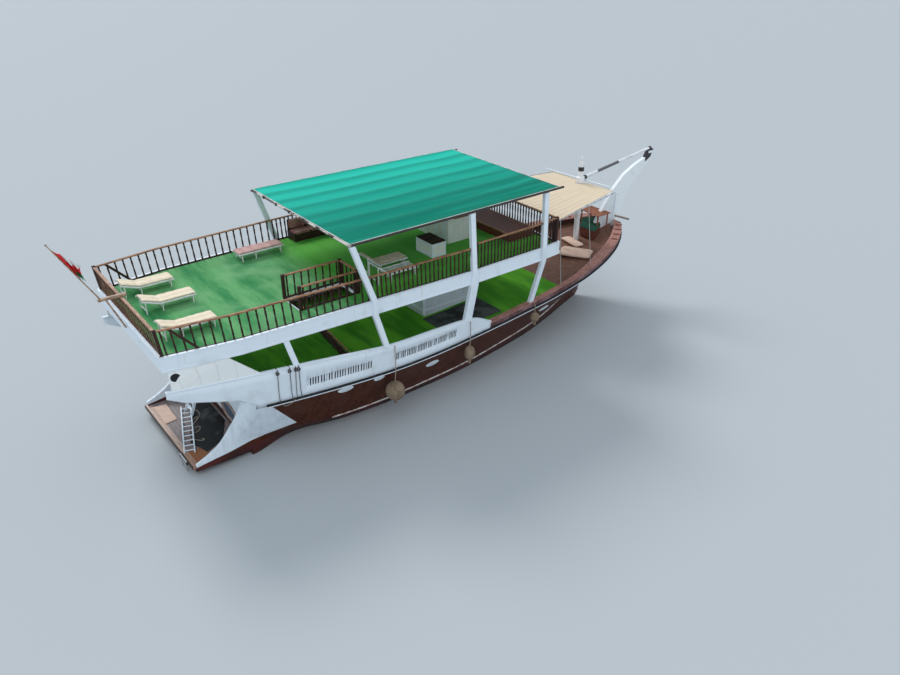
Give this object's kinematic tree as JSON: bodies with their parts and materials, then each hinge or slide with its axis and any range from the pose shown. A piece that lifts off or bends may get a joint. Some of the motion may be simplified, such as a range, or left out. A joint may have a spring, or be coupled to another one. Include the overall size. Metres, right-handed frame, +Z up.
{
  "type": "sailing dhow",
  "caption": "Wooden passenger dhow afloat: raked stem, slotted white bulwarks, planked hull, railed upper deck under an awning, deck cabin, wheelhouse, mast stub, flag.",
  "frame": {"origin": "on the centreline at the waterline, near the middle of the boat", "axes": "+X toward the bow, +Y to port, +Z up"},
  "size_m": [27.2135, 7.894, 9.9773],
  "materials": {
    "white_paint": "satin",
    "hull_paint": "satin",
    "dark_wood": "satin",
    "plank": "matte",
    "black_paint": "satin",
    "turf": "matte",
    "awning_cloth": "matte",
    "canvas": "matte",
    "steel": "satin",
    "bronze": "satin",
    "rope": "matte",
    "flag_cloth": "matte",
    "mattress": "matte"
  },
  "bodies": {
    "boat": {"hull": "hull_paint", "keel": "hull_paint", "stem_blade": "white_paint", "bulwark_port": "white_paint", "bulwark_stbd": "white_paint", "fore_gunwale_port": "dark_wood", "fore_gunwale_stbd": "dark_wood", "sheer_strake_port": "black_paint", "sheer_strake_stbd": "black_paint", "quarter_wing_port": "white_paint", "quarter_wing_stbd": "white_paint", "swim_platform": "plank", "stern_ladder": "white_paint", "main_deck_turf": "turf", "upper_deck_aft": "white_paint", "upper_deck_fore": "white_paint", "upper_deck_port": "white_paint", "upper_deck_stbd": "white_paint", "upper_deck_turf": "turf", "side_frame_port": "white_paint", "side_frame_stbd": "white_paint", "awning_pipes": "black_paint", "green_awning": "awning_cloth", "railing_port": "dark_wood", "railing_stbd": "dark_wood", "railing_aft": "dark_wood", "railing_fore": "dark_wood", "stair_rail_port": "dark_wood", "stair_rail_fore": "dark_wood", "stair_rail_stbd": "dark_wood", "companion_stairs": "dark_wood", "aft_screen_port": "white_paint", "aft_screen_stbd": "white_paint", "deck_cabin": "white_paint", "wheelhouse": "white_paint", "mast_stub": "white_paint", "bow_spar": "white_paint", "fore_awning_frame": "steel", "fore_awning": "canvas", "flagstaff": "plank", "flag": "flag_cloth", "chest": "white_paint", "port_bench": "dark_wood", "fore_bench": "dark_wood", "lounger_aft_port": "mattress", "lounger_aft_mid": "mattress", "lounger_aft_stbd": "mattress", "lounger_well": "mattress", "lounger_rail": "mattress", "lounger_awning": "mattress", "fender_aft": "rope", "fender_mid": "rope", "fender_fore": "rope"},
    "rudder": {"rudder": "hull_paint"},
    "propeller": {"propeller": "bronze"},
    "helm_wheel": {"helm_wheel": "dark_wood"},
    "cabin_door": {"cabin_door": "white_paint"},
    "wheelhouse_door": {"wheelhouse_door": "white_paint"},
    "chest_lid": {"chest_lid": "dark_wood"},
    "swim_ladder": {"swim_ladder": "steel"}
  },
  "joints": [
    {"name": "rudder_turn", "type": "hinge", "parent": "boat", "child": "rudder", "pos_m": [-9.52, 0, -1.2], "axis": [0, 0, 1], "range_deg": [-35, 35]},
    {"name": "propeller_spin", "type": "hinge", "parent": "boat", "child": "propeller", "pos_m": [-9.17, 0, -1.18], "axis": [1, 0, 0], "continuous": true},
    {"name": "helm_turn", "type": "hinge", "parent": "boat", "child": "helm_wheel", "pos_m": [0.62, 0, 5.9495], "axis": [1, 0, 0], "continuous": true},
    {"name": "cabin_door_hinge", "type": "hinge", "parent": "boat", "child": "cabin_door", "pos_m": [-1.7082, 0.643, 3.1], "axis": [0, 0, 1], "range_deg": [-95, 0]},
    {"name": "wheelhouse_door_hinge", "type": "hinge", "parent": "boat", "child": "wheelhouse_door", "pos_m": [-0.5082, -0.843, 5.97], "axis": [0, 0, 1], "range_deg": [0, 95]},
    {"name": "chest_lid_hinge", "type": "hinge", "parent": "boat", "child": "chest_lid", "pos_m": [-1.55, -0.8, 5.6095], "axis": [1, 0, 0], "range_deg": [-100, 0]},
    {"name": "swim_ladder_hinge", "type": "hinge", "parent": "boat", "child": "swim_ladder", "pos_m": [-12.28, -1.7, 0.4355], "axis": [0, 1, 0], "range_deg": [0, 170]}
  ]
}
